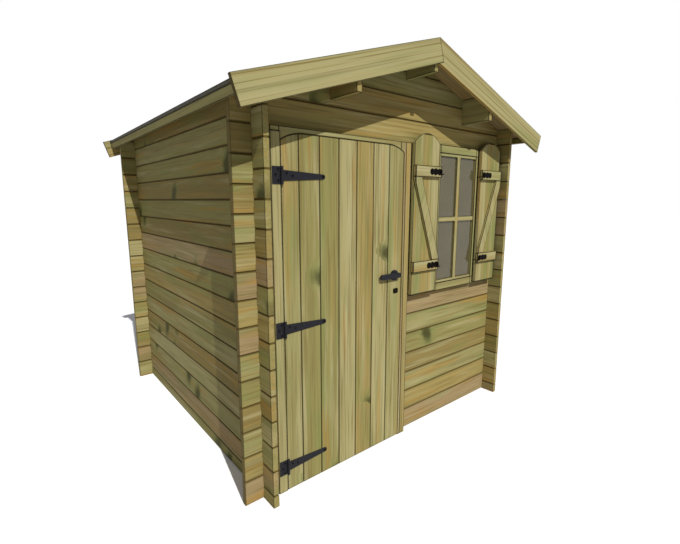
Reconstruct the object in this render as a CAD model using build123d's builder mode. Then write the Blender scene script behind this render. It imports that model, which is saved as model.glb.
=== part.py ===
"""Log-board garden shed with a ledged door, a four-pane window and two shutters.

Millimetres. +Z is up and the front faces -Y. The origin is on the ground, at the
middle of the plan between the outer faces of the four walls.
"""

import os
from math import asin, ceil, cos, degrees, radians, sin, tan

from build123d import *

# ---------------------------------------------------------------- driving sizes
shed_width = 1820.0  # outer face to outer face of the side walls, X
shed_depth = 1820.0  # outer face to outer face of the end walls, Y

log_pitch = 118.0  # height that one wall log covers
log_thickness = 28.0
log_end = 90.0  # how far a log runs past the wall it crosses
log_joint = 5.0  # chamfer on each long edge, so that a joint is a V
log_gap = 0.4  # seam between stacked logs
lap_clearance = 0.3  # play in a corner lap
seat_gap = 0.2  # between pieces that are screwed to each other
eave_rows = 15  # full logs in an end wall below the gable

roof_slope = 18.0  # degrees
roof_board_thickness = 16.0
roof_board_width = 95.0
roof_board_gap = 0.5
eave_overhang = 125.0  # roof boards past the side wall, level
front_overhang = 178.0  # roof boards past the front wall
back_overhang = 106.0  # roof boards past the back wall
fascia_height = 36.0  # square to the slope, below the roof boards
fascia_thickness = 18.0

barge_depth = 110.0
barge_thickness = 16.0
barge_proud = 6.0  # how far its top edge stands over the roof boards
barge_past_eave = 47.0  # how far it runs past the roof boards, level

purlin_width = 30.0
purlin_depth = 136.0
purlin_offset = 498.0  # side purlins, each side of the ridge
ridge_purlin_depth = 129.0

door_corner_gap = 113.0  # left wall's outer face to the clear doorway
door_width = 749.0  # clear doorway between the jambs
door_height = 1631.0  # clear height at the middle of the arch
door_corner_run = 112.0  # level run of each rounded corner of the arch
door_corner_drop = 34.0
door_clearance = 2.0
door_bottom = 4.0  # leaf's lower edge over the ground
door_board_pitch = 110.5
door_first_board = 87.0  # narrower board at the hinges
door_board_thickness = 16.0
board_chamfer = 2.5  # long edges of the door and shutter boards
ledge_thickness = 20.0
door_ledge_height = 90.0
door_ledge_inset = 25.0  # ledge's end to the leaf's edge
door_brace_width = 70.0  # measured level
door_brace_inset = 20.0  # brace's end to the ledge's end

casing_proud = 28.0  # door and window frames stand this far off the wall
lining_thickness = 16.0
left_casing = 46.0
right_casing = 54.0
header_height = 21.0  # casing over the middle of the arch
header_left_end = 4.0  # joint left of the clear doorway
header_right_end = 24.0  # joint right of the arch, inside the clear doorway

window_corner_gap = 474.0  # right wall's outer face to the window's middle
window_rows_from = 7  # the opening is cut between these two log joints
window_rows_to = 14
window_casing_width = 392.0
window_stile = 21.0  # width of each upright of the frame
window_casing = 46.0  # height of the head and of the sill
window_side_overlap = 4.0  # frame over the cut logs
window_head_overlap = 13.0
window_sill_overlap = 6.0
window_bar = 31.0
window_rail = 18.0
bar_set_back = 2.0  # bars and rails behind the frame's face
bar_depth = 8.0
glass_thickness = 4.0

shutter_width = 223.0
shutter_gap = 6.0  # shutter to the window casing
shutter_rise = 58.0  # rise of the arched top
shutter_board_thickness = 16.0
shutter_boards_count = 3
shutter_ledge_height = 60.0
shutter_ledge_thickness = 15.0
shutter_brace_width = 60.0  # measured level
shutter_brace_overrun = 6.0  # brace's head past the edge, before it is sawn flush
shutter_stand_off = 28.0  # back of the boards to the wall
shutter_top_drop = 170.0  # apex of the boards down to the upper ledge's top
shutter_lower_ledge = 133.0  # lower ledge's underside over the bottom edge
shutter_apex_over = 44.0  # apex over the window casing
shutter_lift = 5.0  # shutter's lower edge over the window casing's
shutter_pin_inset = 11.5  # pin to the shutter's edge at the window
shutter_leaf_lobes = ((12.0, 18.0), (45.0, 18.5), (75.0, 17.0))  # from the pin, radius
shutter_leaf_neck = 24.0
shutter_leaf_thickness = 2.5
shutter_eye_radius = 4.5
shutter_eye_length = 20.0
shutter_eye_weld = 0.5  # how far the eye sinks into its leaf
pintle_radius = 2.5
pintle_bend = 2.6  # bend radius at the middle of the bar
pintle_inset = 4.0  # pintle to the casing's outer edge

lower_hinge_height = 125.0  # middle of the lowest hinge over the ground
upper_hinge_drop = 175.5  # middle of the highest hinge below the arch
hinge_count = 3
hinge_plate_height = 72.0
hinge_plate_width = 44.0  # plate's outer edge to the pin
hinge_metal = 3.0
hinge_pin_inset = 2.0  # pin to the clear doorway's edge
plate_bolts = ((16.0, 24.0), (28.0, 0.0), (16.0, -24.0))  # from the pin, up
strap_bolts = ((25.0, 9.0), (54.0, -1.0))
strap_length = 226.0
strap_root = 44.0
strap_neck = 5.0  # where the strap widens to its root, past the knuckle
strap_tip = 21.0
strap_metal = 4.0
knuckle_radius = 6.5
knuckle_length = 24.0
knuckle_gap = 1.0
knuckle_clearance = 1.5  # plate round the leaf's knuckle
pin_radius = 3.0
pin_clearance = 0.3
bolt_radius = 5.0
bolt_rise = 2.5

handle_height = 957.0
handle_edge_gap = 57.0  # spindle to the leaf's free edge
rose_radius = 28.0
rose_thickness = 7.0
rose_gap = 1.0  # rose to the lever's neck
lever_length = 151.0
lever_tail = 20.0  # past the spindle, less the rounded end
lever_height = 27.0
lever_thickness = 11.0
lever_reach = 13.0  # leaf's face to the back of the lever
lever_neck_radius = 8.0
spindle_radius = 5.0
handle_clearance = 0.5
escutcheon_width = 34.0
escutcheon_height = 26.0
escutcheon_corner = 6.0
escutcheon_thickness = 4.0
escutcheon_drop = 87.0
escutcheon_shift = 14.0  # toward the free edge
keyhole_radius = 3.5
keyhole_length = 12.0
keyhole_rise = 3.0  # round part over the plate's middle, slot below it

bearer_height = 28.0
bearer_width = 60.0
bearer_count = 5
floor_board_width = 120.0
floor_board_thickness = 18.0
floor_gap = 6.0  # floor to the walls
floor_board_gap = 1.0

# ---------------------------------------------------------------- derived sizes
half_width = shed_width / 2
half_depth = shed_depth / 2
front_face = -half_depth  # outer face of the front wall
back_face = half_depth
slope = radians(roof_slope)
wall_top = (eave_rows + 0.25) * log_pitch  # roof plane at the wall's outer face
ridge_underside = wall_top + half_width * tan(slope)

doorway_left = -half_width + door_corner_gap
doorway_right = doorway_left + door_width
door_cut_left = doorway_left - lining_thickness
door_cut_right = doorway_right + lining_thickness
door_rows = int(door_height // log_pitch) + 1
door_cut_top = door_rows * log_pitch

window_x = half_width - window_corner_gap
window_left = window_x - window_casing_width / 2
window_right = window_x + window_casing_width / 2
window_cut_left = window_left + window_side_overlap
window_cut_right = window_right - window_side_overlap
window_cut_bottom = window_rows_from * log_pitch
window_cut_top = window_rows_to * log_pitch
window_bottom = window_cut_bottom - window_sill_overlap
window_top = window_cut_top + window_head_overlap
past_roof = 600.0  # how far the tools that cut to the roof reach past it


def roof_underside(x):
    """Height of the roof boards' underside over a point of the plan."""
    return ridge_underside - abs(x) * tan(slope)


def save(piece, name):
    """Labels one finished piece and writes it as its own STEP file."""
    piece.part.label = name
    export_step(piece.part, f"parts/{name}.step")


# ---------------------------------------------------------------- shared shapes
def log_section(rows, across, base=0.0):
    """Ends of the logs in the given rows, in a sketch whose Y is up."""
    with Locations(*[(across, base + (row + 0.5) * log_pitch) for row in rows]):
        Rectangle(log_thickness, log_pitch - log_gap)
    chamfer(vertices(), log_joint)


def logs_along_x(rows, x_from, x_to, outer_face, inward):
    """Stacked logs of an end wall between two places in X."""
    middle = outer_face + inward * log_thickness / 2
    with BuildSketch(Plane.YZ.offset(x_from)) as ends:
        log_section(rows, middle)
    extrude(ends.sketch, amount=x_to - x_from)


def lap_cuts_along_x(outer_face, inward):
    """Cuts the corner laps of an end wall, where side wall logs pass through."""
    lap_height = log_pitch / 2 + 2 * lap_clearance
    lap_width = log_thickness + 2 * lap_clearance
    lap_x = half_width - log_thickness / 2
    spots = [(side * lap_x, row * log_pitch) for side in (-1, 1) for row in range(eave_rows + 1)]
    middle = outer_face + inward * log_thickness / 2
    with BuildSketch(Plane.XZ.offset(-middle)) as laps:
        with Locations(*spots):
            Rectangle(lap_width, lap_height)
    extrude(laps.sketch, amount=log_thickness, both=True, mode=Mode.SUBTRACT)


def cut_to_roof():
    """Cuts away everything over the underside of the roof boards."""
    reach = half_width + past_roof
    with BuildSketch(Plane.XZ) as over_roof:
        with BuildLine():
            Polyline(
                (-reach, roof_underside(reach)),
                (0, ridge_underside),
                (reach, roof_underside(reach)),
                (reach, ridge_underside + past_roof),
                (-reach, ridge_underside + past_roof),
                close=True,
            )
        make_face()
    extrude(over_roof.sketch, amount=half_depth + past_roof, both=True, mode=Mode.SUBTRACT)


def cut_purlin_pockets():
    """Pockets in a gable, in which the three purlins lie."""
    pocket_width = purlin_width + 2 * lap_clearance
    side_bottom = roof_underside(purlin_offset) - purlin_depth - lap_clearance
    ridge_bottom = ridge_underside - ridge_purlin_depth - lap_clearance
    with BuildSketch(Plane.XZ) as pockets:
        with Locations((-purlin_offset, side_bottom), (purlin_offset, side_bottom)):
            Rectangle(pocket_width, 2 * purlin_depth, align=(Align.CENTER, Align.MIN))
        with Locations((0, ridge_bottom)):
            Rectangle(pocket_width, 2 * purlin_depth, align=(Align.CENTER, Align.MIN))
    extrude(pockets.sketch, amount=shed_depth, both=True, mode=Mode.SUBTRACT)


os.makedirs("parts", exist_ok=True)

log_left = -half_width - log_end
log_right = half_width + log_end

# ---------------------------------------------------------------- front wall
def front_wall_piece(name, rows, x_from, x_to):
    """Logs of the front wall; the two ends are functions of the row."""
    with BuildPart() as piece:
        for row in rows:
            logs_along_x([row], x_from(row), x_to(row), front_face, 1)
        lap_cuts_along_x(front_face, 1)
    save(piece, name)


def left_end(row):
    """Left end of the logs right of the doorway, or of those that pass over it."""
    if row < door_rows:
        return door_cut_right + lap_clearance
    return log_left


window_rows = range(window_rows_from, window_rows_to)
front_wall_piece(
    "front_wall_door_side",
    range(door_rows),
    lambda row: log_left,
    lambda row: door_cut_left - lap_clearance,
)
front_wall_piece("front_wall_lower", range(window_rows_from), left_end, lambda row: log_right)
front_wall_piece(
    "front_wall_pier", window_rows, left_end, lambda row: window_cut_left - lap_clearance
)
front_wall_piece(
    "front_wall_window_side",
    window_rows,
    lambda row: window_cut_right + lap_clearance,
    lambda row: log_right,
)
front_wall_piece(
    "front_wall_upper", range(window_rows_to, eave_rows), left_end, lambda row: log_right
)

# ---------------------------------------------------------------- back wall
with BuildPart() as back_wall:
    logs_along_x(range(eave_rows), log_left, log_right, back_face, -1)
    lap_cuts_along_x(back_face, -1)
save(back_wall, "back_wall")

# ---------------------------------------------------------------- gables
gable_rows = range(eave_rows, int(ridge_underside // log_pitch) + 1)
gable_reach = half_width - log_thickness - lap_clearance
for name, outer_face, inward in (("front_gable", front_face, 1), ("back_gable", back_face, -1)):
    with BuildPart() as gable:
        logs_along_x(gable_rows, -gable_reach, gable_reach, outer_face, inward)
        cut_purlin_pockets()
        cut_to_roof()
    save(gable, name)

# ---------------------------------------------------------------- side walls
side_rows = range(0, eave_rows + 1)
for name, side in (("left_wall", -1), ("right_wall", 1)):
    middle = side * (half_width - log_thickness / 2)
    with BuildPart() as side_wall:
        with BuildSketch(Plane.XZ.offset(half_depth + log_end)):
            log_section(side_rows, middle, base=-log_pitch / 2)
            with Locations((middle, 0)):  # the lowest log is half a log
                Rectangle(
                    2 * log_thickness,
                    log_pitch,
                    align=(Align.CENTER, Align.MAX),
                    mode=Mode.SUBTRACT,
                )
        extrude(amount=-(shed_depth + 2 * log_end))
        lap_y = half_depth - log_thickness / 2
        lap_spots = [
            (side_y * lap_y, (row + 0.5) * log_pitch)
            for side_y in (-1, 1)
            for row in range(eave_rows)
        ]
        with BuildSketch(Plane.YZ.offset(middle)):
            with Locations(*lap_spots):
                Rectangle(log_thickness + 2 * lap_clearance, log_pitch / 2 + 2 * lap_clearance)
        extrude(amount=log_thickness, both=True, mode=Mode.SUBTRACT)
        cut_to_roof()
    save(side_wall, name)

# ---------------------------------------------------------------- roof frame
purlin_front = front_face - front_overhang
purlin_back = back_face + back_overhang
roof_length = purlin_back - purlin_front

purlin_places = (
    ("left_purlin", -purlin_offset, roof_underside(purlin_offset) - purlin_depth),
    ("right_purlin", purlin_offset, roof_underside(purlin_offset) - purlin_depth),
    ("ridge_purlin", 0, ridge_underside - ridge_purlin_depth),
)
for name, x, bottom in purlin_places:
    with BuildPart() as purlin:
        with BuildSketch(Plane.XZ.offset(-purlin_front)):
            with Locations((x, bottom)):
                Rectangle(purlin_width, 2 * purlin_depth, align=(Align.CENTER, Align.MIN))
        extrude(amount=-roof_length)
        cut_to_roof()
    save(purlin, name)

# ---------------------------------------------------------------- roof boards
# Each slope is drawn on a plane that lies on the underside of its boards.
eave_x = half_width + eave_overhang
slope_run = eave_x / cos(slope)
roof_board_count = round(roof_length / roof_board_width)
roof_board_pitch = roof_length / roof_board_count
ridge_gap = roof_board_thickness * tan(slope) + roof_board_gap

for name, side in (("left_roof_boards", -1), ("right_roof_boards", 1)):
    down_slope = Vector(side * cos(slope), 0, -sin(slope))
    normal = Vector(side * sin(slope), 0, cos(slope))
    underside = Plane(origin=(0, purlin_front, ridge_underside), x_dir=down_slope, z_dir=normal)
    along_ridge = underside.y_dir.Y
    with BuildPart() as slope_boards:
        with BuildSketch(underside.offset(roof_board_gap)):
            spots = [
                (roof_board_gap, along_ridge * (board + 0.5) * roof_board_pitch)
                for board in range(roof_board_count)
            ]
            with Locations(*spots):
                Rectangle(
                    slope_run,
                    roof_board_pitch - roof_board_gap,
                    align=(Align.MIN, Align.CENTER),
                )
        extrude(amount=roof_board_thickness)
    save(slope_boards, name)

# ---------------------------------------------------------------- eave fascias
fascia_top = roof_underside(eave_x)
for name, side in (("left_fascia", -1), ("right_fascia", 1)):
    with BuildPart() as fascia:
        with BuildSketch(Plane.XZ.offset(-purlin_front)):
            with Locations((side * eave_x, fascia_top)):
                with Locations(Location((0, 0, 0), (0, 0, -side * roof_slope))):
                    with Locations((-side * fascia_thickness / 2, -fascia_height / 2)):
                        Rectangle(fascia_thickness, fascia_height)
        extrude(amount=-roof_length)
    save(fascia, name)

# ---------------------------------------------------------------- barge boards
# The left board of each pair is square at the ridge and the right one butts on it.
barge_top = ridge_underside + (roof_board_thickness + barge_proud) / cos(slope)
barge_run = (eave_x + barge_past_eave) / cos(slope)


def barge_outline(side, mode=Mode.ADD, grow=0.0):
    """One barge board's face, in a sketch on XZ."""
    tilt = side * roof_slope
    with Locations((0, barge_top)):
        with Locations(Location((0, 0, 0), (0, 0, -tilt))):
            with Locations((side * (barge_run + grow) / 2, -barge_depth / 2)):
                Rectangle(barge_run + grow, barge_depth + 2 * grow, mode=mode)


for end_name, face in (("front", purlin_front), ("back", purlin_back + barge_thickness)):
    with BuildPart() as left_barge:
        with BuildSketch(Plane.XZ.offset(-face)):
            barge_outline(-1)
        extrude(amount=barge_thickness)
    save(left_barge, f"{end_name}_barge_left")
    with BuildPart() as right_barge:
        with BuildSketch(Plane.XZ.offset(-face)):
            barge_outline(1)
            barge_outline(-1, mode=Mode.SUBTRACT, grow=roof_board_gap)
        extrude(amount=barge_thickness)
    save(right_barge, f"{end_name}_barge_right")

# ---------------------------------------------------------------- door frame
casing_face = front_face - casing_proud
casing_back = front_face - seat_gap
wall_inside = front_face + log_thickness
arch_bottom = door_height - door_corner_drop
header_top = door_height + header_height
header_notch = doorway_right - header_right_end
header_left_joint = doorway_left - header_left_end
below_ground = -10.0  # where the tools that cut the doorway start


def arched_doorway(clearance=0.0, floor=0.0, mode=Mode.ADD):
    """Clear doorway with a flat arch over it, in a sketch on XZ."""
    left = doorway_left + clearance
    right = doorway_right - clearance
    run = door_corner_run - clearance
    drop = door_corner_drop - clearance
    spring = arch_bottom
    crown = spring + drop
    radius = (run**2 + drop**2) / (2 * drop)
    spread = degrees(asin(run / radius))
    with BuildLine() as outline:
        Line((left, floor), (right, floor))
        Line((right, floor), (right, spring))
        CenterArc((right - run, crown - radius), radius, 90 - spread, spread)
        Line((right - run, crown), (left + run, crown))
        CenterArc((left + run, crown - radius), radius, 90, spread)
        Line((left, spring), (left, floor))
    make_face(outline.edges(), mode=mode)


def frame_piece(name, section_boxes):
    """A door frame piece from boxes (x from, x to, z from, z to, y from, y to)."""
    with BuildPart() as piece:
        for x_from, x_to, z_from, z_to, y_from, y_to in section_boxes:
            with Locations(((x_from + x_to) / 2, (y_from + y_to) / 2, (z_from + z_to) / 2)):
                Box(x_to - x_from, y_to - y_from, z_to - z_from)
        with BuildSketch(Plane.XZ.offset(-front_face)):
            arched_doorway(floor=below_ground)
        extrude(amount=log_thickness * 2, both=True, mode=Mode.SUBTRACT)
    save(piece, name)


frame_piece(
    "door_jamb_left",
    (
        (doorway_left - left_casing, doorway_left, 0, door_height, casing_face, casing_back),
        (door_cut_left, doorway_left, 0, arch_bottom, casing_back, wall_inside),
    ),
)
frame_piece(
    "door_jamb_right",
    (
        (doorway_right, door_cut_right, 0, header_top, casing_face, casing_back),
        (header_notch, door_cut_right, arch_bottom, header_top, casing_face, casing_back),
        (doorway_right, door_cut_right, 0, arch_bottom, casing_back, wall_inside),
        (
            door_cut_right + log_gap,
            doorway_right + right_casing,
            0,
            header_top,
            casing_face,
            casing_back,
        ),
    ),
)
frame_piece(
    "door_header",
    (
        (
            doorway_left - left_casing,
            header_left_joint - log_gap,
            door_height + log_gap,
            header_top,
            casing_face,
            casing_back,
        ),
        (
            header_left_joint,
            doorway_left,
            door_height + log_gap,
            header_top,
            casing_face,
            casing_back,
        ),
        (
            doorway_left,
            header_notch - log_gap,
            arch_bottom,
            header_top,
            casing_face,
            casing_back,
        ),
        (
            doorway_left,
            doorway_right,
            arch_bottom,
            door_cut_top - lap_clearance,
            casing_back,
            wall_inside,
        ),
    ),
)

# ---------------------------------------------------------------- door leaf
leaf_left = doorway_left + door_clearance
leaf_right = doorway_right - door_clearance
leaf_width = leaf_right - leaf_left
leaf_face = casing_face
leaf_back = leaf_face + door_board_thickness
door_boards_count = 1 + ceil((leaf_width - door_first_board) / door_board_pitch)
spindle_x = leaf_right - handle_edge_gap

with BuildPart() as door_boards:
    with BuildSketch(Plane.XY.offset(door_bottom)):
        first_middle = leaf_left + door_first_board - door_board_pitch / 2
        spots = [
            (first_middle + board * door_board_pitch, leaf_face + door_board_thickness / 2)
            for board in range(door_boards_count)
        ]
        with Locations(*spots):
            Rectangle(door_board_pitch - log_gap, door_board_thickness)
        chamfer(vertices(), board_chamfer)
    extrude(amount=door_height)
    with BuildSketch(Plane.XZ.offset(-leaf_back)):
        arched_doorway(clearance=door_clearance, floor=below_ground)
    extrude(amount=door_board_thickness, mode=Mode.INTERSECT)
    with Locations(Location((spindle_x, leaf_face, handle_height), (90, 0, 0))):
        Cylinder(spindle_radius + handle_clearance, 6 * door_board_thickness, mode=Mode.SUBTRACT)
save(door_boards, "door_boards")

hinge_pitch = (door_height - upper_hinge_drop - lower_hinge_height) / (hinge_count - 1)
hinge_heights = [lower_hinge_height + step * hinge_pitch for step in range(hinge_count)]
with BuildPart() as door_ledges:  # three ledges behind the hinges
    with Locations(
        *[
            ((leaf_left + leaf_right) / 2, leaf_back + seat_gap + ledge_thickness / 2, z)
            for z in hinge_heights
        ]
    ):
        Box(leaf_width - 2 * door_ledge_inset, ledge_thickness, door_ledge_height)
save(door_ledges, "door_ledges")

brace_left = leaf_left + door_ledge_inset + door_brace_inset
brace_right = leaf_right - door_ledge_inset - door_brace_inset
with BuildPart() as door_braces:  # rising from the hinge side
    with BuildSketch(Plane.XZ.offset(-(leaf_back + seat_gap + ledge_thickness))):
        for lower, upper in zip(hinge_heights, hinge_heights[1:]):
            low = lower + door_ledge_height / 2 + log_gap
            high = upper - door_ledge_height / 2 - log_gap
            with BuildLine():
                Polyline(
                    (brace_left, low),
                    (brace_left + door_brace_width, low),
                    (brace_right, high),
                    (brace_right - door_brace_width, high),
                    close=True,
                )
            make_face()
    extrude(amount=ledge_thickness)
save(door_braces, "door_braces")

# ---------------------------------------------------------------- door hinges
pin_x = doorway_left + hinge_pin_inset
pin_y = casing_face - knuckle_radius
knuckle_offsets = (knuckle_length + knuckle_gap, -(knuckle_length + knuckle_gap))


def bolt_heads(spots, face_y):
    """Round-headed bolts on a face that looks along -Y."""
    with BuildSketch(Plane.XZ.offset(-face_y)) as heads:
        with Locations(*spots):
            Circle(bolt_radius)
    extrude(heads.sketch, amount=bolt_rise)


with BuildPart() as hinge_plates:  # on the left jamb, with the pins
    for z in hinge_heights:
        with Locations((pin_x - hinge_plate_width / 2, casing_face - hinge_metal / 2, z)):
            Box(hinge_plate_width, hinge_metal, hinge_plate_height)
        knuckles = [(pin_x, pin_y, z + offset_z) for offset_z in knuckle_offsets]
        with Locations(*knuckles):
            Cylinder(knuckle_radius, knuckle_length)
        with Locations((pin_x, pin_y, z)):
            Cylinder(pin_radius, 3 * knuckle_length + 2 * knuckle_gap)
        with Locations((pin_x, pin_y, z)):
            Cylinder(
                knuckle_radius + knuckle_clearance,
                knuckle_length + 2 * knuckle_gap,
                mode=Mode.SUBTRACT,
            )
        with Locations((pin_x, pin_y, z)):
            Cylinder(pin_radius, knuckle_length + 2 * knuckle_gap)
        bolt_heads(
            [(pin_x - bolt_x, z + bolt_z) for bolt_x, bolt_z in plate_bolts],
            casing_face - hinge_metal,
        )
save(hinge_plates, "door_hinge_plates")

with BuildPart() as hinge_straps:  # on the leaf
    strap_face = leaf_face - strap_metal
    root_x = pin_x + knuckle_radius + strap_neck
    tip_x = pin_x + strap_length - strap_tip / 2
    for z in hinge_heights:
        with BuildSketch(Plane.XZ.offset(-leaf_face)) as strap:
            with BuildLine():
                Polyline(
                    (pin_x, z - knuckle_length / 2),
                    (pin_x, z + knuckle_length / 2),
                    (pin_x + knuckle_radius, z + knuckle_length / 2),
                    (root_x, z + strap_root / 2),
                    (tip_x, z + strap_tip / 2),
                    (tip_x, z - strap_tip / 2),
                    (root_x, z - strap_root / 2),
                    (pin_x + knuckle_radius, z - knuckle_length / 2),
                    close=True,
                )
            make_face()
            with Locations((tip_x, z)):
                Circle(strap_tip / 2)
        extrude(strap.sketch, amount=strap_metal)
        with Locations((pin_x, pin_y, z)):
            Cylinder(knuckle_radius, knuckle_length)
            Cylinder(pin_radius + pin_clearance, knuckle_length, mode=Mode.SUBTRACT)
        bolt_heads([(pin_x + bolt_x, z + bolt_z) for bolt_x, bolt_z in strap_bolts], strap_face)
save(hinge_straps, "door_hinge_straps")

# ---------------------------------------------------------------- door handle
with BuildPart() as lock_roses:  # one each side of the leaf, round the spindle
    for face_y, outward in ((leaf_face, 1), (leaf_back, -1)):
        with BuildSketch(Plane.XZ.offset(-face_y)):
            with Locations((spindle_x, handle_height)):
                Circle(rose_radius)
                Circle(spindle_radius + handle_clearance, mode=Mode.SUBTRACT)
        extrude(amount=outward * rose_thickness)
save(lock_roses, "door_lock_roses")

with BuildPart() as escutcheon:
    with BuildSketch(Plane.XZ.offset(-leaf_face)):
        with Locations((spindle_x + escutcheon_shift, handle_height - escutcheon_drop)):
            RectangleRounded(escutcheon_width, escutcheon_height, escutcheon_corner)
            with Locations((0, keyhole_rise)):
                Circle(keyhole_radius, mode=Mode.SUBTRACT)
            with Locations((0, -keyhole_rise)):
                Rectangle(keyhole_radius, keyhole_length, mode=Mode.SUBTRACT)
    extrude(amount=escutcheon_thickness)
save(escutcheon, "door_keyhole_plate")

with BuildPart() as door_lever:  # outer and inner levers on one spindle
    lever_front = leaf_face - lever_reach
    lever_back = leaf_back + lever_reach
    lever_middle = spindle_x + lever_tail - (lever_length - lever_height) / 2
    with BuildSketch(Plane.XZ.offset(-lever_back)):
        with Locations((spindle_x, handle_height)):
            Circle(spindle_radius)
    extrude(amount=lever_back - lever_front)
    for face_y, outward, rose_y in (
        (lever_front, 1, leaf_face - rose_thickness - rose_gap),
        (lever_back, -1, leaf_back + rose_thickness + rose_gap),
    ):
        with BuildSketch(Plane.XZ.offset(-face_y)):
            with Locations((lever_middle, handle_height)):
                SlotOverall(lever_length, lever_height)
        extrude(amount=outward * lever_thickness)
        with BuildSketch(Plane.XZ.offset(-face_y)):
            with Locations((spindle_x, handle_height)):
                Circle(lever_neck_radius)
        extrude(amount=-outward * abs(rose_y - face_y))
save(door_lever, "door_lever")

# ---------------------------------------------------------------- window
window_middle_z = (window_bottom + window_top) / 2
window_height = window_top - window_bottom
clear_width = window_casing_width - 2 * window_stile
clear_height = window_height - 2 * window_casing


with BuildPart() as window_frame:  # deep boards on edge, glued and nailed as one
    with BuildSketch(Plane.XZ.offset(-casing_back)):
        with Locations((window_x, window_middle_z)):
            Rectangle(window_casing_width, window_height)
    extrude(amount=casing_proud - seat_gap)
    with BuildSketch(Plane.XZ.offset(-wall_inside)):
        with Locations((window_x, (window_cut_bottom + window_cut_top) / 2)):
            Rectangle(
                window_cut_right - window_cut_left,
                window_cut_top - window_cut_bottom - 2 * lap_clearance,
            )
    extrude(amount=wall_inside - casing_back)
    with BuildSketch(Plane.XZ.offset(-wall_inside)):
        with Locations((window_x, window_middle_z)):
            Rectangle(clear_width, clear_height)
    extrude(amount=wall_inside - casing_face, mode=Mode.SUBTRACT)
save(window_frame, "window_frame")

bar_face = casing_face + bar_set_back
bar_back = bar_face + bar_depth
inner_width = clear_width - 2 * seat_gap
inner_height = clear_height - 2 * seat_gap
with BuildPart() as window_sash:  # two rails and a cross of bars in front of the pane
    with BuildSketch(Plane.XZ.offset(-bar_back)):
        with Locations((window_x, window_middle_z)):
            Rectangle(inner_width, window_bar)
            Rectangle(window_bar, inner_height)
            with GridLocations(1, inner_height - window_rail, 1, 2):
                Rectangle(inner_width, window_rail)
    extrude(amount=bar_depth)
save(window_sash, "window_sash")

with BuildPart() as window_glass:
    with Locations((window_x, bar_back + seat_gap, window_middle_z)):
        Box(
            inner_width,
            glass_thickness,
            inner_height,
            align=(Align.CENTER, Align.MIN, Align.CENTER),
        )
save(window_glass, "window_glass")

# ---------------------------------------------------------------- shutters
# Folded back against the wall, with the ledged face showing. Each one turns on two
# pintles in front of that face, which brings it over the window casing and the sill.
shutter_bottom = window_bottom + shutter_lift
shutter_apex = window_top + shutter_apex_over
shutter_spring = shutter_apex - shutter_rise
shutter_back = front_face - shutter_stand_off
shutter_face = shutter_back - shutter_board_thickness
shutter_ledge_face = shutter_face - seat_gap - shutter_ledge_thickness
shutter_leaf_face = shutter_ledge_face - shutter_leaf_thickness
shutter_pin_y = shutter_leaf_face - shutter_eye_radius + shutter_eye_weld
shutter_board_pitch = shutter_width / shutter_boards_count
upper_ledge_z = shutter_apex - shutter_top_drop - shutter_ledge_height / 2
lower_ledge_z = shutter_bottom + shutter_lower_ledge + shutter_ledge_height / 2
shutter_hinge_heights = (upper_ledge_z, lower_ledge_z)

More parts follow.
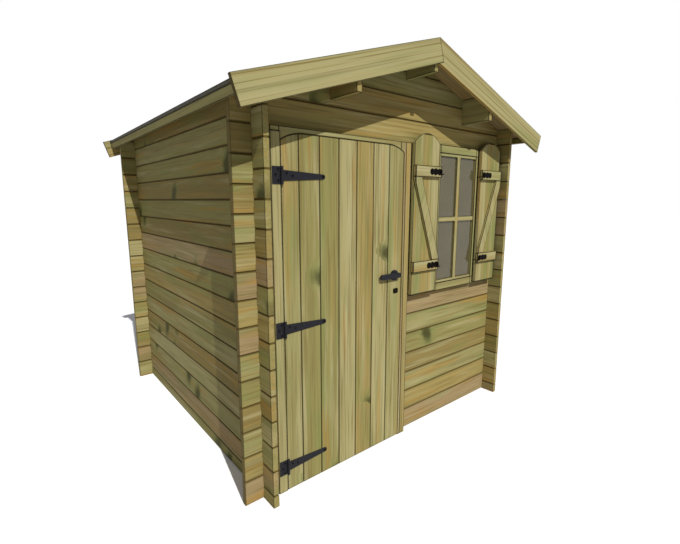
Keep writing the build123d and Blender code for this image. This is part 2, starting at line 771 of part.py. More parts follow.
for side_name, side in (("left", -1), ("right", 1)):
    near_x = window_x + side * (window_casing_width / 2 + shutter_gap)
    far_x = near_x + side * shutter_width
    middle_x = (near_x + far_x) / 2
    shutter_pin_x = near_x + side * shutter_pin_inset

    with BuildPart() as shutter_boards:
        with BuildSketch(Plane.XY.offset(shutter_bottom)):
            with Locations((middle_x, shutter_back - shutter_board_thickness / 2)):
                with GridLocations(shutter_board_pitch, 1, shutter_boards_count, 1):
                    Rectangle(shutter_board_pitch - log_gap, shutter_board_thickness)
            chamfer(vertices(), board_chamfer)
        extrude(amount=shutter_apex - shutter_bottom)
        with BuildSketch(Plane.XZ.offset(-front_face)):
            with BuildLine():
                Polyline(
                    (near_x, shutter_spring),
                    (near_x, shutter_bottom),
                    (far_x, shutter_bottom),
                    (far_x, shutter_spring),
                )
                ThreePointArc(
                    (far_x, shutter_spring), (middle_x, shutter_apex), (near_x, shutter_spring)
                )
            make_face()
        extrude(amount=front_face - shutter_ledge_face, mode=Mode.INTERSECT)
    save(shutter_boards, f"{side_name}_shutter_boards")

    with BuildPart() as shutter_ledges:  # two ledges and a brace from the outer top corner
        brace_low = lower_ledge_z + shutter_ledge_height / 2 + log_gap
        brace_high = upper_ledge_z - shutter_ledge_height / 2 - log_gap
        brace_head = far_x + side * shutter_brace_overrun
        with BuildSketch(Plane.XZ.offset(-(shutter_face - seat_gap))):
            with Locations((middle_x, upper_ledge_z), (middle_x, lower_ledge_z)):
                Rectangle(shutter_width, shutter_ledge_height)
            with BuildLine():
                Polyline(
                    (near_x, brace_low),
                    (near_x + side * shutter_brace_width, brace_low),
                    (brace_head, brace_high),
                    (brace_head - side * shutter_brace_width, brace_high),
                    close=True,
                )
            make_face()
            with Locations((middle_x, upper_ledge_z)):
                Rectangle(shutter_width, 2 * window_height, mode=Mode.INTERSECT)
        extrude(amount=shutter_ledge_thickness)
    save(shutter_ledges, f"{side_name}_shutter_ledges")

    with BuildPart() as shutter_hinges:  # lobed iron leaves with an eye each
        for z in shutter_hinge_heights:
            leaf_reach = shutter_leaf_lobes[-1][0]
            with BuildSketch(Plane.XZ.offset(-shutter_ledge_face)) as leaf:
                for reach, radius in shutter_leaf_lobes:
                    with Locations((shutter_pin_x + side * reach, z)):
                        Circle(radius)
                with Locations((shutter_pin_x + side * leaf_reach / 2, z)):
                    Rectangle(leaf_reach, shutter_leaf_neck)
            extrude(leaf.sketch, amount=shutter_leaf_thickness)
            with Locations((shutter_pin_x, shutter_pin_y, z)):
                Cylinder(shutter_eye_radius, shutter_eye_length)
                Cylinder(pintle_radius + pin_clearance, shutter_eye_length, mode=Mode.SUBTRACT)
    save(shutter_hinges, f"{side_name}_shutter_hinges")

    with BuildPart() as shutter_pintles:  # bent round bars, driven into the window casing
        pintle_x = window_x + side * (window_casing_width / 2 - pintle_inset)
        for z in shutter_hinge_heights:
            arm_z = z - shutter_eye_length / 2 - pin_clearance - pintle_radius
            with BuildLine() as bar:
                FilletPolyline(
                    (pintle_x, casing_face, arm_z),
                    (pintle_x, shutter_pin_y, arm_z),
                    (shutter_pin_x, shutter_pin_y, arm_z),
                    (shutter_pin_x, shutter_pin_y, z + shutter_eye_length / 2 + pintle_radius),
                    radius=pintle_bend,
                )
            with BuildSketch(Plane(bar.line @ 0, z_dir=bar.line % 0)) as section:
                Circle(pintle_radius)
            sweep(section.sketch, path=bar.line)
    save(shutter_pintles, f"{side_name}_shutter_pintles")

# ---------------------------------------------------------------- floor
room_half_width = half_width - log_thickness - floor_gap
room_half_depth = half_depth - log_thickness - floor_gap
bearer_spacing = 2 * (room_half_width - bearer_width / 2) / (bearer_count - 1)
floor_board_count = round(2 * room_half_depth / floor_board_width)
floor_board_pitch = 2 * room_half_depth / floor_board_count

with BuildPart() as floor_bearers:
    with GridLocations(bearer_spacing, 1, bearer_count, 1):
        Box(
            bearer_width,
            2 * (half_depth - log_thickness - seat_gap),
            bearer_height,
            align=(Align.CENTER, Align.CENTER, Align.MIN),
        )
save(floor_bearers, "floor_bearers")

with BuildPart() as floor_boards:
    with BuildSketch(Plane.XY.offset(bearer_height)):
        with GridLocations(1, floor_board_pitch, 1, floor_board_count):
            Rectangle(2 * room_half_width, floor_board_pitch - floor_board_gap)
    extrude(amount=floor_board_thickness)
save(floor_boards, "floor_boards")
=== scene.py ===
import math

import bmesh
import bpy
from mathutils import Matrix, Vector


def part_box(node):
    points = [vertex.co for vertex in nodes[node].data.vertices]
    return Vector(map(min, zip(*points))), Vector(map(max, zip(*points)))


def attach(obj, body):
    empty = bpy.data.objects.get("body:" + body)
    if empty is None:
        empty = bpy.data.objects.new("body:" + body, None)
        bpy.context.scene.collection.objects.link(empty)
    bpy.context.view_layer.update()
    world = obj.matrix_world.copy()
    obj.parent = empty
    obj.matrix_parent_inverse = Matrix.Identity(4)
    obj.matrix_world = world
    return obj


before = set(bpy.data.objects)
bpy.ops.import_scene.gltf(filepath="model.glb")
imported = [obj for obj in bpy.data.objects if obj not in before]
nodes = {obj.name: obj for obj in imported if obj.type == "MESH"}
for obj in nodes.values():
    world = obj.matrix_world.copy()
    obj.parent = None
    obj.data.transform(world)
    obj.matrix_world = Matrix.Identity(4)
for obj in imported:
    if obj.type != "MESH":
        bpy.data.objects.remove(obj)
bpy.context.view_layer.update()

scene = bpy.context.scene
print("frame:", len(nodes), "nodes loaded")

perMetre = 1000  # sizes are set in millimetres, meshes and sockets take metres
# a Mix node's sockets go by number, because its colours and vectors share their names
mixColour = {"a": 6, "b": 7, "result": 2}
mixVector = {"a": 4, "b": 5, "result": 1}


def mm(value):
    # millimetres to metres
    return value / perMetre


def extent(nodeName, letter):
    # the low and the high end of a piece in one direction, in millimetres
    return [corner["XYZ".index(letter)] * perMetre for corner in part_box(nodeName)]


def colour(hexText):
    # sRGB hex to the linear colour that a socket takes
    parts = [int(hexText[i : i + 2], 16) / 255 for i in (0, 2, 4)]
    return [p / 12.92 if p <= 0.04045 else ((p + 0.055) / 1.055) ** 2.4 for p in parts] + [1]


def grey(level):
    return [level, level, level, 1]


def addNode(tree, kind, settings=None, links=None):
    # settings are properties of the node or values of its sockets
    node = tree.nodes.new(kind)
    for key, value in (settings or {}).items():
        if isinstance(key, str) and hasattr(node, key):
            setattr(node, key, value)
        else:
            node.inputs[key].default_value = value
    for key, source in (links or {}).items():
        if isinstance(source, bpy.types.Node):
            source = source.outputs[0]
        tree.links.new(source, node.inputs[key])
    return node


def fade(empty, full):
    # settings of a Map Range node that eases from nothing to all
    return {"interpolation_type": "SMOOTHSTEP", "From Min": empty, "From Max": full}


def emptyMaterial(name):
    material = bpy.data.materials.new(name)
    material.use_nodes = True
    material.node_tree.nodes.clear()
    return material, material.node_tree


def dress(piece, material):
    piece.data.materials.clear()
    piece.data.materials.append(material)


# Pressure-treated pine, planed. Every board has its own cast between straw, olive and
# tan; broad soft bands and fine latewood lines run along it, and the salt leaves a green
# breath here and there. Every arris, corner, joint and gap gets a dark line: partly darker
# edges and grime in the seams, partly painted shade where seams, corners and gaps lie in
# shade. A piece's own settings, further down, go before these. Scales are cells to the
# metre along, across and through a board, so 30 makes a band every 33 mm. Real latewood
# lines are 2 to 4 mm apart, too fine to show, and are drawn 10 mm apart.
pine = {
    "straw": "b0a673",
    "khaki": "a39b66",
    "olive": "989058",
    "amber": "a7945a",
    "rosy": "a79068",
    "umber": "96844e",
    "casts": "straw khaki olive amber rosy umber",
    "pale": "bdb283",
    "paleShare": 0.6,
    "paleBand": {"scale": (1.5, 30, 30), "detail": 3, "empty": 0.5, "full": 0.7, "shift": 0},
    "deep": "84784a",
    "deepShare": 0.55,
    "deepBand": {"scale": (1.1, 24, 24), "detail": 3, "empty": 0.52, "full": 0.32, "shift": 7},
    "green": "7f8b4e",
    "greenShare": 0.45,
    "greenBreath": {"scale": (2.2, 11, 11), "detail": 2, "empty": 0.5, "full": 0.7, "shift": 13},
    "honey": "b08a44",
    "honeyShare": 0.5,
    "honeyStreak": {"scale": (1.3, 24, 24), "detail": 2, "empty": 0.54, "full": 0.72, "shift": 29},
    "line": "7c6a3a",
    "lineShare": 0.45,
    "fineLine": {"scale": (2.4, 105, 105), "detail": 2, "empty": 0.5, "full": 0.68, "shift": 41},
    "streakRoughness": 0.55,
    "streakBend": 0.2,
    "wave": 1,  # above 1 the streaks are shorter, below 1 longer
    "smear": "3f3d20",
    "smearShare": 0.06,  # how many of the cells hold a knot smear
    "smearCell": (6.2, 3.4, 30),
    "smearSlant": -22,
    "smearWander": (0.3, 0.1, 0),
    "wanderScale": 22,  # bends of 45 mm
    "wanderDetail": 2,
    "halo": (0.6, 0.1),  # how near the green halo starts and is full, in cells
    "haloShare": 0.45,
    "core": (0.36, 0.08),
    "coreShare": 0.85,
    "swirl": 20,  # how far the grain bends round a smear
    "sawn": "a5925a",
    "sawnShare": 0.35,
    "sawnFrom": 0.8,  # an end looks along the board at least this much
    "weathered": "62625a",
    # near-black of the arrises, corner lines and gaps: partly darker edges, partly painted shade
    # in corners and gaps
    "edgeAndGapShade": "1f1a0e",
    "arrisShare": 0.92,
    "arrisWidth": 10,
    "arrisTurn": (0.992, 0.93),  # cosine of the rounded surface to the flat one
    "arrisSamples": 8,
    # brown of the joints: partly grime in the V-grooves, partly painted shade in them
    "joint": "57471f",
    "jointShare": 0.85,
    "jointWidth": 4.8,
    "jointFade": (1.2, 0.7),  # in widths of the joint
    "edges": (),  # direction, place and half width of each dark line
    "edgeShare": 0.85,
    "edgeWidth": 9,
    "edgeFacing": 0.6,  # a face that looks further round than this has no line
    "tilt": 0,
    "start": 0,
    "pitch": 20000,  # one board, where a piece gives no pitch
    "seedStep": 1.37,
    "slideApart": 19,  # metres of grain from one board's draw to another's
    "stepApart": 2.3,
    "relief": 0.4,
    "reliefStrength": 0.3,
    "rough": (0.8, 0.66),  # between the latewood lines and on them
    "specular": 0.1,
}


def grainFrame(tree, objectPlace, look):
    # a vector along, across and through the boards, with the boards counted
    turned = addNode(
        tree,
        "ShaderNodeMapping",
        {"Rotation": (0, math.radians(look["tilt"]), 0)},
        {"Vector": objectPlace},
    )
    parts = addNode(tree, "ShaderNodeSeparateXYZ", {}, {0: turned})
    along, across, depth = (parts.outputs[letter] for letter in look["axes"])
    shifted = addNode(
        tree, "ShaderNodeMath", {"operation": "SUBTRACT", 1: mm(look["start"])}, {0: across}
    )
    counted = addNode(
        tree, "ShaderNodeMath", {"operation": "DIVIDE", 1: mm(look["pitch"])}, {0: shifted}
    )
    board = addNode(tree, "ShaderNodeMath", {"operation": "FLOOR"}, {0: counted})
    seeded = addNode(
        tree,
        "ShaderNodeMath",
        {"operation": "ADD", 1: look["seed"] * look["seedStep"]},
        {0: board},
    )
    draw = addNode(tree, "ShaderNodeTexWhiteNoise", {"noise_dimensions": "1D"}, {"W": seeded})
    slid = addNode(
        tree,
        "ShaderNodeMath",
        {"operation": "MULTIPLY_ADD", 1: look["slideApart"]},
        {0: draw.outputs["Value"], 2: along},
    )
    stepped = addNode(
        tree,
        "ShaderNodeMath",
        {"operation": "MULTIPLY_ADD", 1: look["stepApart"]},
        {0: seeded, 2: depth},
    )
    place = addNode(tree, "ShaderNodeCombineXYZ", {}, {0: slid, 1: across, 2: stepped})
    return place.outputs[0], board, counted, draw


def pineMaterial(name, grain):
    look = {**pine, **grain}
    material, tree = emptyMaterial(name)
    coords = addNode(tree, "ShaderNodeTexCoord")
    here = addNode(tree, "ShaderNodeSeparateXYZ", {}, {0: coords.outputs["Object"]})
    place, board, counted, draw = grainFrame(tree, coords.outputs["Object"], look)
    if "second" in grain:
        # the upright or slanting members of the same piece have their own direction
        second = {**look, **grain["second"]}
        otherPlace = grainFrame(tree, coords.outputs["Object"], second)[0]
        inside = addNode(
            tree,
            "ShaderNodeMath",
            {"operation": "COMPARE", 1: mm(second["middle"]), 2: mm(second["half"])},
            {0: here.outputs[second["within"]]},
        )
        choice = addNode(
            tree,
            "ShaderNodeMix",
            {"data_type": "VECTOR"},
            {0: inside, mixVector["a"]: place, mixVector["b"]: otherPlace},
        )
        place = choice.outputs[mixVector["result"]]

    def tint(base, hexText, factor, share):
        amount = addNode(tree, "ShaderNodeMath", {"operation": "MULTIPLY", 1: share}, {0: factor})
        laid = addNode(
            tree,
            "ShaderNodeMix",
            {"data_type": "RGBA", mixColour["b"]: colour(hexText)},
            {0: amount, mixColour["a"]: base},
        )
        return laid.outputs[mixColour["result"]]

    # slanting knot smears, and the way the grain bends round them
    wander = addNode(
        tree,
        "ShaderNodeTexNoise",
        {"Scale": look["wanderScale"], "Detail": look["wanderDetail"]},
        {"Vector": place},
    )
    slanted = addNode(
        tree,
        "ShaderNodeVectorRotate",
        {"rotation_type": "Z_AXIS", "Angle": math.radians(look["smearSlant"])},
        {"Vector": place},
    )
    cells = addNode(
        tree,
        "ShaderNodeVectorMath",
        {"operation": "MULTIPLY", 1: look["smearCell"]},
        {0: slanted},
    )
    bent = addNode(
        tree,
        "ShaderNodeVectorMath",
        {"operation": "MULTIPLY_ADD", 1: look["smearWander"]},
        {0: wander.outputs["Color"], 2: cells},
    )
    spots = addNode(
        tree, "ShaderNodeTexVoronoi", {"voronoi_dimensions": "2D", "Scale": 1}, {"Vector": bent}
    )
    chance = addNode(tree, "ShaderNodeSeparateColor", {}, {0: spots.outputs["Color"]})
    kept = addNode(
        tree,
        "ShaderNodeMath",
        {"operation": "LESS_THAN", 1: look["smearShare"]},
        {0: chance.outputs[0]},
    )
    smears = {}
    for part in ("halo", "core"):
        near = addNode(
            tree, "ShaderNodeMapRange", fade(*look[part]), {"Value": spots.outputs["Distance"]}
        )
        smears[part] = addNode(
            tree, "ShaderNodeMath", {"operation": "MULTIPLY"}, {0: near, 1: kept}
        )
    push = addNode(tree, "ShaderNodeCombineXYZ", {}, {1: smears["halo"]})
    swirled = addNode(
        tree,
        "ShaderNodeVectorMath",
        {"operation": "MULTIPLY_ADD", 1: (0, mm(look["swirl"]), 0)},
        {0: push, 2: place},
    )

    # the cast of the board: listed from the first board on, or drawn by lot
    casts = look["casts"].split()
    lot = draw.outputs["Value"]
    if "casts" in grain:
        lot = addNode(
            tree,
            "ShaderNodeMath",
            {"operation": "MULTIPLY_ADD", 1: 1 / len(casts), 2: 0.5 / len(casts)},
            {0: board},
        )
    ramp = addNode(tree, "ShaderNodeValToRGB", {}, {0: lot})
    ramp.color_ramp.interpolation = "CONSTANT"
    stops = ramp.color_ramp.elements
    stops.remove(stops[1])
    stops[0].color = colour(look[casts[0]])
    for rank, cast in enumerate(casts[1:], start=1):
        stops.new(rank / len(casts)).color = colour(look[cast])
    base = ramp.outputs[0]

    # streaks along the grain, each laid over the ones before
    streaks = {}
    for streak, tone in (
        ("paleBand", "pale"),
        ("deepBand", "deep"),
        ("greenBreath", "green"),
        ("honeyStreak", "honey"),
        ("fineLine", "line"),
    ):
        along, across, through = look[streak]["scale"]
        stretched = addNode(
            tree,
            "ShaderNodeVectorMath",
            {
                "operation": "MULTIPLY_ADD",
                1: (along * look["wave"], across, through),
                2: [look[streak]["shift"]] * 3,
            },
            {0: swirled},
        )
        noise = addNode(
            tree,
            "ShaderNodeTexNoise",
            {
                "Scale": 1,
                "Detail": look[streak]["detail"],
                "Roughness": look["streakRoughness"],
                "Distortion": look["streakBend"],
            },
            {"Vector": stretched},
        )
        streaks[streak] = addNode(
            tree,
            "ShaderNodeMapRange",
            fade(look[streak]["empty"], look[streak]["full"]),
            {"Value": noise},
        )
        base = tint(base, look[tone], streaks[streak], look[tone + "Share"])
    base = tint(base, look["green"], smears["halo"], look["haloShare"])
    base = tint(base, look["smear"], smears["core"], look["coreShare"])

    # sawn ends, where the surface looks along the board
    turnedNormal = addNode(
        tree,
        "ShaderNodeMapping",
        {"vector_type": "NORMAL", "Rotation": (0, math.radians(look["tilt"]), 0)},
        {"Vector": coords.outputs["Normal"]},
    )
    boardFacing = addNode(tree, "ShaderNodeSeparateXYZ", {}, {0: turnedNormal})
    endOn = addNode(
        tree,
        "ShaderNodeMath",
        {"operation": "ABSOLUTE"},
        {0: boardFacing.outputs[look["axes"][0]]},
    )
    sawn = addNode(
        tree, "ShaderNodeMath", {"operation": "GREATER_THAN", 1: look["sawnFrom"]}, {0: endOn}
    )
    base = tint(base, look["sawn"], sawn, look["sawnShare"])

    # painted dark lines on arrises and in corners, found by the rounded normal, then the darker
    # joints between the boards; both are partly painted shade in corners, grooves and gaps
    rounded = addNode(
        tree,
        "ShaderNodeBevel",
        {"samples": look["arrisSamples"], "Radius": mm(look["arrisWidth"])},
    )
    flat = addNode(tree, "ShaderNodeNewGeometry")
    agreement = addNode(
        tree,
        "ShaderNodeVectorMath",
        {"operation": "DOT_PRODUCT"},
        {0: rounded, 1: flat.outputs["True Normal"]},
    )
    edgeAndGapShade = addNode(
        tree,
        "ShaderNodeMapRange",
        fade(*look["arrisTurn"]),
        {"Value": agreement.outputs["Value"]},
    )
    base = tint(base, look["edgeAndGapShade"], edgeAndGapShade, look["arrisShare"])
    if "pitch" in grain:
        nearest = addNode(tree, "ShaderNodeMath", {"operation": "ROUND"}, {0: counted})
        away = addNode(
            tree, "ShaderNodeMath", {"operation": "SUBTRACT"}, {0: counted, 1: nearest}
        )
        gap = addNode(tree, "ShaderNodeMath", {"operation": "ABSOLUTE"}, {0: away})
        width = look["jointWidth"] / look["pitch"]
        joint = addNode(
            tree,
            "ShaderNodeMapRange",
            fade(*(part * width for part in look["jointFade"])),
            {"Value": gap},
        )
        if "innerJoints" in grain:
            middle, half = look["innerJoints"]
            inner = addNode(
                tree, "ShaderNodeMath", {"operation": "COMPARE", 1: middle, 2: half}, {0: nearest}
            )
            joint = addNode(
                tree, "ShaderNodeMath", {"operation": "MULTIPLY"}, {0: joint, 1: inner}
            )
        base = tint(base, look["joint"], joint, look["jointShare"])

    facing = addNode(tree, "ShaderNodeSeparateXYZ", {}, {0: coords.outputs["Normal"]})
    for letter, spot, half in look["edges"]:
        # a painted dark line at an edge or butt joint square to one direction, not on the side
        # face itself: an outline, and painted shade in the gap between pieces
        edge = addNode(
            tree,
            "ShaderNodeMath",
            {"operation": "COMPARE", 1: mm(spot), 2: mm(half)},
            {0: here.outputs[letter]},
        )
        faceOn = addNode(
            tree,
            "ShaderNodeMath",
            {"operation": "COMPARE", 1: 0, 2: look["edgeFacing"]},
            {0: facing.outputs[letter]},
        )
        both = addNode(tree, "ShaderNodeMath", {"operation": "MULTIPLY"}, {0: edge, 1: faceOn})
        base = tint(base, look["edgeAndGapShade"], both, look["edgeShare"])

    raised = addNode(
        tree,
        "ShaderNodeMath",
        {"operation": "ADD"},
        {0: streaks["fineLine"], 1: streaks["paleBand"]},
    )
    bump = addNode(
        tree,
        "ShaderNodeBump",
        {"Strength": look["reliefStrength"], "Distance": mm(look["relief"])},
        {"Height": raised},
    )
    sheen = addNode(
        tree,
        "ShaderNodeMapRange",
        {"To Min": look["rough"][0], "To Max": look["rough"][1]},
        {"Value": streaks["fineLine"]},
    )
    shader = addNode(
        tree,
        "ShaderNodeBsdfPrincipled",
        {"Specular IOR Level": look["specular"]},
        {"Base Color": base, "Normal": bump, "Roughness": sheen},
    )
    addNode(tree, "ShaderNodeOutputMaterial", {}, {0: shader})
    return material


# Black ironwork. The door's is powder coated steel: nearly black with a cold sheen and a
# faint orange peel. The shutters' and the bolts are painted: warmer and duller.
iron = {
    "coated": {"coat": "1d1d21", "worn": "28282d", "specular": 0.12},
    "painted": {"coat": "0d0b09", "worn": "171411", "specular": 0.02},
    "rough": 0.5,
    "peel": 420,  # cells to the metre, one every 2.4 mm
    "peelDetail": 2,
    "peelDepth": 0.2,
    "peelStrength": 0.25,
    "wear": 70,  # patches of 14 mm
    "wearDetail": 3,
}


def ironMaterial(name, finish):
    material, tree = emptyMaterial(name)
    coords = addNode(tree, "ShaderNodeTexCoord")
    peel = addNode(
        tree,
        "ShaderNodeTexNoise",
        {"Scale": iron["peel"], "Detail": iron["peelDetail"]},
        {"Vector": coords.outputs["Object"]},
    )
    wear = addNode(
        tree,
        "ShaderNodeTexNoise",
        {"Scale": iron["wear"], "Detail": iron["wearDetail"]},
        {"Vector": coords.outputs["Object"]},
    )
    shade = addNode(
        tree,
        "ShaderNodeMix",
        {
            "data_type": "RGBA",
            mixColour["a"]: colour(finish["coat"]),
            mixColour["b"]: colour(finish["worn"]),
        },
        {0: wear},
    )
    bump = addNode(
        tree,
        "ShaderNodeBump",
        {"Strength": iron["peelStrength"], "Distance": mm(iron["peelDepth"])},
        {"Height": peel},
    )
    shader = addNode(
        tree,
        "ShaderNodeBsdfPrincipled",
        {"Roughness": iron["rough"], "Specular IOR Level": finish["specular"]},
        {"Base Color": shade.outputs[mixColour["result"]], "Normal": bump},
    )
    addNode(tree, "ShaderNodeOutputMaterial", {}, {0: shader})
    return material


# Float glass, a little dusty: grey-olive, half clear.
pane = {
    "tint": "857c55",
    "dust": "706744",
    "clear": 0.5,
    "rough": 0.03,
    "ior": 1.5,
    "film": 9,  # patches of dust, 110 mm wide
    "filmDetail": 3,
}


def paneMaterial(name):
    material, tree = emptyMaterial(name)
    coords = addNode(tree, "ShaderNodeTexCoord")
    film = addNode(
        tree,
        "ShaderNodeTexNoise",
        {"Scale": pane["film"], "Detail": pane["filmDetail"]},
        {"Vector": coords.outputs["Object"]},
    )
    shade = addNode(
        tree,
        "ShaderNodeMix",
        {
            "data_type": "RGBA",
            mixColour["a"]: colour(pane["tint"]),
            mixColour["b"]: colour(pane["dust"]),
        },
        {0: film},
    )
    shader = addNode(
        tree,
        "ShaderNodeBsdfPrincipled",
        {"Roughness": pane["rough"], "Transmission Weight": pane["clear"], "IOR": pane["ior"]},
        {"Base Color": shade.outputs[mixColour["result"]]},
    )
    addNode(tree, "ShaderNodeOutputMaterial", {}, {0: shader})
    return material


# How the boards of each wooden piece lie. The axes are along, across and through, tilts
# are in degrees, and the casts are listed from the lowest or leftmost board on. A second
# direction holds within a band of the piece, given by its middle and half width.
logPitch = 118
roofSlope = 18
doorPitch = 110.5
firstDoorBoard = 87  # the narrower board at the hinges
liningJoint = -31.8  # where the right jamb's lining meets its casing board
headerJoints = (-801.2, -72.2)  # where the header meets the jambs
ledgeHeight = 60
ledgeLow, ledgeHigh = extent("left_shutter_ledges", "Z")


def middleOf(nodeName, letter):
    return sum(extent(nodeName, letter)) / 2


def sides(nodeName, letters, half=pine["edgeWidth"]):
    # the two ends of a piece in each lettered direction
    return tuple((letter, end, half) for letter in letters for end in extent(nodeName, letter))


logs = {
    "pitch": logPitch,
    "arrisWidth": 6,
    "arrisShare": 0.6,
    "lineShare": 0.6,
    "honeyShare": 0.65,
}
frontLogs = {
    **logs,
    "axes": "XZY",
    "seed": 12,
    "casts": (
        "rosy amber khaki umber olive khaki rosy amber rosy amber khaki umber olive umber "
        "amber amber khaki amber olive khaki"
    ),
    # the ends are much darker than sawn wood: partly their own end grain, partly painted shade,
    # since these ends get only grazing sun
    "sawn": "6f6138",
    "sawnShare": 0.8,
}
backLogs = {**logs, "axes": "XZY", "seed": 31, "smearShare": 0}
sideLogs = {**logs, "axes": "YZX", "start": -logPitch / 2}
roofing = {
    "axes": "XYZ",
    "pitch": 95.64,
    "start": extent("left_roof_boards", "Y")[0],
    "jointWidth": 1.5,
    "sawn": pine["weathered"],
    "sawnShare": 0.9,
}
barge = {
    "axes": "XZY",
    "arrisWidth": 6,
    "wave": 0.3,
    "lineShare": 0.85,
    "honeyShare": 0.7,
    "smearShare": 0,
    "casts": "straw",
    "sawn": "54441f",
    "sawnShare": 0.9,
}
casing = {"smearShare": 0.01, "axes": "ZXY", "arrisWidth": 9}
shutterBoards = {
    "axes": "ZXY",
    "smearShare": 0,
    "greenShare": 0.65,
    "honeyShare": 0.8,
    "pitch": 74.4,
    "jointWidth": 5.5,
    "joint": pine["khaki"],
    "innerJoints": (1.5, 0.6),  # only the joints numbered 1 and 2
    "arrisWidth": 9,
}
shutterLedges = {"axes": "XZY", "smearShare": 0, "casts": "straw", "arrisWidth": 9}
shutterBrace = {
    "axes": "ZXY",
    "within": "Z",
    "middle": (ledgeLow + ledgeHigh) / 2,
    "half": (ledgeHigh - ledgeLow) / 2 - ledgeHeight,
}
ledgeEdges = tuple(
    ("Z", height, 3.5)
    for height in (ledgeLow, ledgeLow + ledgeHeight, ledgeHigh - ledgeHeight, ledgeHigh)
)
grains = {
    "front_wall_door_side": frontLogs,
    "front_wall_lower": frontLogs,
    "front_wall_pier": frontLogs,
    "front_wall_window_side": frontLogs,
    "front_wall_upper": frontLogs,
    "front_gable": frontLogs,
    "back_wall": backLogs,
    "back_gable": backLogs,
    "left_wall": {
        **sideLogs,
        "seed": 47,
        "casts": (
            "olive rosy khaki straw umber khaki olive amber olive rosy umber olive umber "
            "olive khaki umber"
        ),
        "smearShare": 0.15,
        "edges": sides("left_wall", "Y", 3.5),
    },
    "right_wall": {**sideLogs, "seed": 59},
    "left_purlin": {"axes": "YZX", "seed": 61},
    "right_purlin": {"axes": "YZX", "seed": 62},
    "ridge_purlin": {"axes": "YZX", "seed": 63},
    "left_roof_boards": {**roofing, "tilt": roofSlope, "seed": 71},
    "right_roof_boards": {**roofing, "tilt": -roofSlope, "seed": 72},
    "left_fascia": {"axes": "YZX", "seed": 81, "smearShare": 0},
    "right_fascia": {"axes": "YZX", "seed": 82, "smearShare": 0},
    "front_barge_left": {**barge, "tilt": roofSlope, "seed": 83},
    "front_barge_right": {**barge, "tilt": -roofSlope, "seed": 84},
    "back_barge_left": {**barge, "tilt": roofSlope, "seed": 85},
    "back_barge_right": {**barge, "tilt": -roofSlope, "seed": 86},
    "door_jamb_left": {**casing, "seed": 91, "casts": "straw"},
    "door_jamb_right": {
        **casing,
        "seed": 92,
        "start": liningJoint - 500,
        "pitch": 500,  # wide enough for one joint only
        "jointWidth": 3,
        # the joint between lining and casing board is a painted near-black line, standing for the
        # shade in the joint
        "joint": pine["edgeAndGapShade"],
        "casts": "rosy amber",
    },
    "door_header": {
        **casing,
        "axes": "XZY",
        "seed": 93,
        "casts": "khaki",
        "edges": tuple(("X", joint, 2.4) for joint in headerJoints),
    },
    "door_boards": {
        "axes": "ZXY",
        "pitch": doorPitch,
        "start": extent("door_boards", "X")[0] + firstDoorBoard - doorPitch,
        "seed": 101,
        # the gaps between the door boards are painted near-black, standing for the shade in them
        "jointWidth": 2,
        "joint": pine["edgeAndGapShade"],
        "arrisWidth": 6,
        "casts": "khaki olive olive straw amber straw khaki",
        "lineShare": 0.6,
    },
    "door_ledges": {"axes": "XZY", "seed": 111},
    "door_braces": {"axes": "XZY", "tilt": 44, "seed": 113},
    "window_frame": {
        **casing,
        "axes": "XZY",
        "seed": 121,
        "casts": "khaki",
        "second": {
            "axes": "ZXY",
            "within": "Z",
            "middle": middleOf("window_glass", "Z"),
            "half": 376,  # half the frame's opening
        },
        "edges": sides("window_frame", "XZ", 5) + sides("window_sash", "XZ", 3),
    },
    "window_sash": {
        "axes": "XZY",
        "seed": 123,
        "casts": "straw",
        "smearShare": 0,
        "second": {
            "axes": "ZXY",
            "within": "X",
            "middle": middleOf("window_glass", "X"),
            "half": 15.5,  # half the upright bar
        },
    },
    "left_shutter_boards": {
        **shutterBoards,
        "start": extent("left_shutter_ledges", "X")[0],
        "seed": 131,
        "casts": "khaki amber straw",
        "edges": sides("left_shutter_boards", "XZ"),
    },
    "right_shutter_boards": {
        **shutterBoards,
        "start": extent("right_shutter_ledges", "X")[0],
        "seed": 135,
        "casts": "straw amber khaki",
        "edges": sides("right_shutter_boards", "XZ"),
    },
    "left_shutter_ledges": {
        **shutterLedges,
        "seed": 141,
        "edges": sides("left_shutter_ledges", "X") + ledgeEdges,
        "second": {**shutterBrace, "tilt": -20},
    },
    "right_shutter_ledges": {
        **shutterLedges,
        "seed": 143,
        "edges": sides("right_shutter_ledges", "X") + ledgeEdges,
        "second": {**shutterBrace, "tilt": 20},
    },
    "floor_bearers": {"axes": "YXZ", "seed": 151},
    "floor_boards": {
        "axes": "XYZ",
        "pitch": 116.8,
        "start": extent("floor_boards", "Y")[0],
        "seed": 153,
        "jointWidth": 1.5,
    },
}
for nodeName, grain in grains.items():
    dress(nodes[nodeName], pineMaterial("treatedPine." + nodeName, grain))
print("pine:", len(grains), "pieces finished")

doorIron = ironMaterial("blackPowderCoatedSteel", iron["coated"])
shutterIron = ironMaterial("blackPaintedHingeSteel", iron["painted"])
for nodeName in nodes:
    if nodeName not in grains and nodeName != "window_glass":
        isPainted = "shutter" in nodeName or "keyhole" in nodeName
        dress(nodes[nodeName], shutterIron if isPainted else doorIron)
dress(nodes["window_glass"], paneMaterial("floatGlassPane"))
print("ironwork and pane: finished")

# Coach bolts of the door's hinges: black domes on a flat collar, at each hinge three on
# the jamb's plate and three on the strap, which ride on the door.
bolts = {
    "dome": 4.6,
    "rise": 3,
    "collar": 6,
    "collarSlope": 0.6,
    "thick": 0.8,
    "segments": 24,
    "rings": 12,
    "plateHeight": 72,
    # spots are level from the door's left edge, and up or down from a hinge's middle
    "doorPlateBolts": {"body": "root", "metal": 3, "spots": ((-16, 24), (-28, 0), (-16, -24))},
    "doorStrapBolts": {"body": "door", "metal": 4, "spots": ((25, 9), (54, -1), (214, 0))},
}


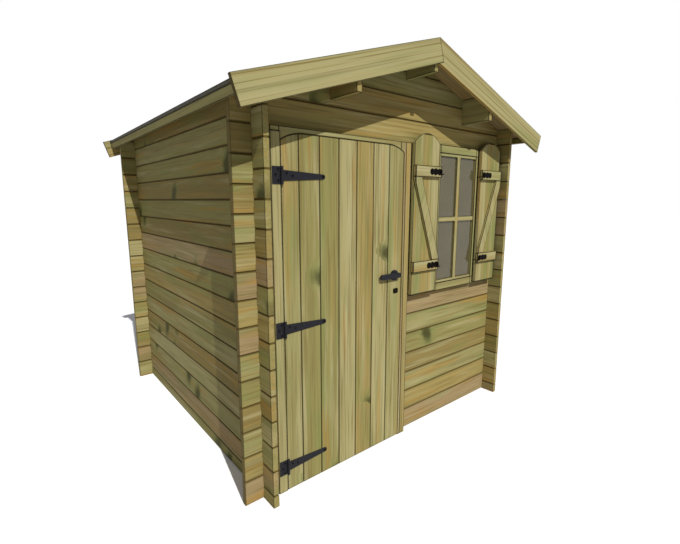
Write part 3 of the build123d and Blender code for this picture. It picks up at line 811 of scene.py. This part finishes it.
def addBolts(name, holder, spots, face):
    # domed heads on a face that looks at -Y
    builder = bmesh.new()
    thick = mm(bolts["thick"])
    for x, z in spots:
        seat = Vector((x, face, z))
        bmesh.ops.create_cone(
            builder,
            cap_ends=True,
            segments=bolts["segments"],
            radius1=mm(bolts["collar"]),
            radius2=mm(bolts["collar"] - bolts["collarSlope"]),
            depth=thick,
            matrix=Matrix.Translation(seat - Vector((0, thick / 2, 0)))
            @ Matrix.Rotation(math.radians(90), 4, "X"),
        )
        bmesh.ops.create_uvsphere(
            builder,
            u_segments=bolts["segments"],
            v_segments=bolts["rings"],
            radius=mm(bolts["dome"]),
            matrix=Matrix.Translation(seat - Vector((0, thick, 0)))
            @ Matrix.Diagonal((1, bolts["rise"] / bolts["dome"], 1, 1)),
        )
    bmesh.ops.recalc_face_normals(builder, faces=builder.faces)
    shape = bpy.data.meshes.new(name)
    builder.to_mesh(shape)
    builder.free()
    shape.shade_smooth()
    piece = bpy.data.objects.new(name, shape)
    scene.collection.objects.link(piece)
    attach(piece, holder)
    return piece


boltIron = ironMaterial("blackenedCoachBolts", iron["painted"])
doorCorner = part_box("door_boards")[0]
plateLow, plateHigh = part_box("door_hinge_plates")
halfPlate = mm(bolts["plateHeight"] / 2)
hingeHeights = (plateLow.z + halfPlate, (plateLow.z + plateHigh.z) / 2, plateHigh.z - halfPlate)
for name in ("doorPlateBolts", "doorStrapBolts"):
    row = bolts[name]
    spots = [
        (doorCorner.x + mm(x), height + mm(z)) for height in hingeHeights for x, z in row["spots"]
    ]
    heads = addBolts(name, row["body"], spots, doorCorner.y - mm(row["metal"]))
    dress(heads, boltIron)
print("bolts: heads set on the door's hinges")

# Camera off the left front corner, at chest height, in metres and degrees.
viewpoint = {
    "place": (-1.7127, -2.4449, 1.3528),
    "pitch": 80.146,
    "heading": -39.269,
    "lens": 21.815,
    "sensor": 36,
    "farthest": 200,
}
cameraData = bpy.data.cameras.new("camera")
cameraData.lens = viewpoint["lens"]
cameraData.sensor_width = viewpoint["sensor"]
cameraData.clip_end = viewpoint["farthest"]
camera = bpy.data.objects.new("camera", cameraData)
camera.location = viewpoint["place"]
camera.rotation_euler = (
    math.radians(viewpoint["pitch"]),
    0,
    math.radians(viewpoint["heading"]),
)
scene.collection.objects.link(camera)
scene.camera = camera
scene.view_settings.view_transform = "Standard"

# One sun from the front, a dim even sky, and a white studio floor and background.
studio = {
    "travel": (0.19, 0.98),  # level direction of the sunlight
    "height": 43.4,  # of the sun, in degrees
    "sun": 2.95,
    "sunSize": 0.6,
    "sky": 0.2,
    "skyTint": "f4f6ff",
    "backdrop": 1,
    "floorHalf": 40,  # metres
    "floorDrop": 0.6,  # below the shed's foot, so that the two don't flicker
    "floorBounce": 0.6,
    "floorSeen": 1.32,
}
sunData = bpy.data.lights.new("sun", "SUN")
sunData.energy = studio["sun"]
sunData.angle = math.radians(studio["sunSize"])
sun = bpy.data.objects.new("sun", sunData)
sunHeight = math.radians(studio["height"])
level = math.cos(sunHeight)
fall = Vector((studio["travel"][0] * level, studio["travel"][1] * level, -math.sin(sunHeight)))
sun.rotation_euler = fall.to_track_quat("-Z", "Y").to_euler()
scene.collection.objects.link(sun)


def seenDirectly(tree):
    # 1 for what the camera sees, straight on, through glass or in a reflection
    rays = addNode(tree, "ShaderNodeLightPath")
    direct = addNode(
        tree,
        "ShaderNodeMath",
        {"operation": "MAXIMUM"},
        {0: rays.outputs["Is Camera Ray"], 1: rays.outputs["Is Transmission Ray"]},
    )
    return addNode(
        tree,
        "ShaderNodeMath",
        {"operation": "MAXIMUM"},
        {0: direct, 1: rays.outputs["Is Glossy Ray"]},
    )


world = bpy.data.worlds.new("studio")
scene.world = world
world.use_nodes = True
sky = world.node_tree
sky.nodes.clear()
ambient = addNode(
    sky, "ShaderNodeBackground", {"Color": colour(studio["skyTint"]), "Strength": studio["sky"]}
)
backdrop = addNode(
    sky, "ShaderNodeBackground", {"Color": grey(1), "Strength": studio["backdrop"]}
)
either = addNode(sky, "ShaderNodeMixShader", {}, {0: seenDirectly(sky), 1: ambient, 2: backdrop})
addNode(sky, "ShaderNodeOutputWorld", {}, {0: either})

ground = bpy.data.meshes.new("studioFloor")
builder = bmesh.new()
bmesh.ops.create_grid(builder, x_segments=1, y_segments=1, size=studio["floorHalf"])
bmesh.ops.translate(builder, verts=builder.verts, vec=(0, 0, -mm(studio["floorDrop"])))
builder.to_mesh(ground)
builder.free()
studioFloor = bpy.data.objects.new("studioFloor", ground)
scene.collection.objects.link(studioFloor)
floorPaint, paint = emptyMaterial("whiteFloorPaint")
bounce = addNode(paint, "ShaderNodeBsdfDiffuse", {"Color": grey(studio["floorBounce"])})
white = addNode(paint, "ShaderNodeBsdfDiffuse", {"Color": grey(studio["floorSeen"])})
either = addNode(paint, "ShaderNodeMixShader", {}, {0: seenDirectly(paint), 1: bounce, 2: white})
addNode(paint, "ShaderNodeOutputMaterial", {}, {0: either})
dress(studioFloor, floorPaint)
print("studio: camera, sun, sky and floor set")
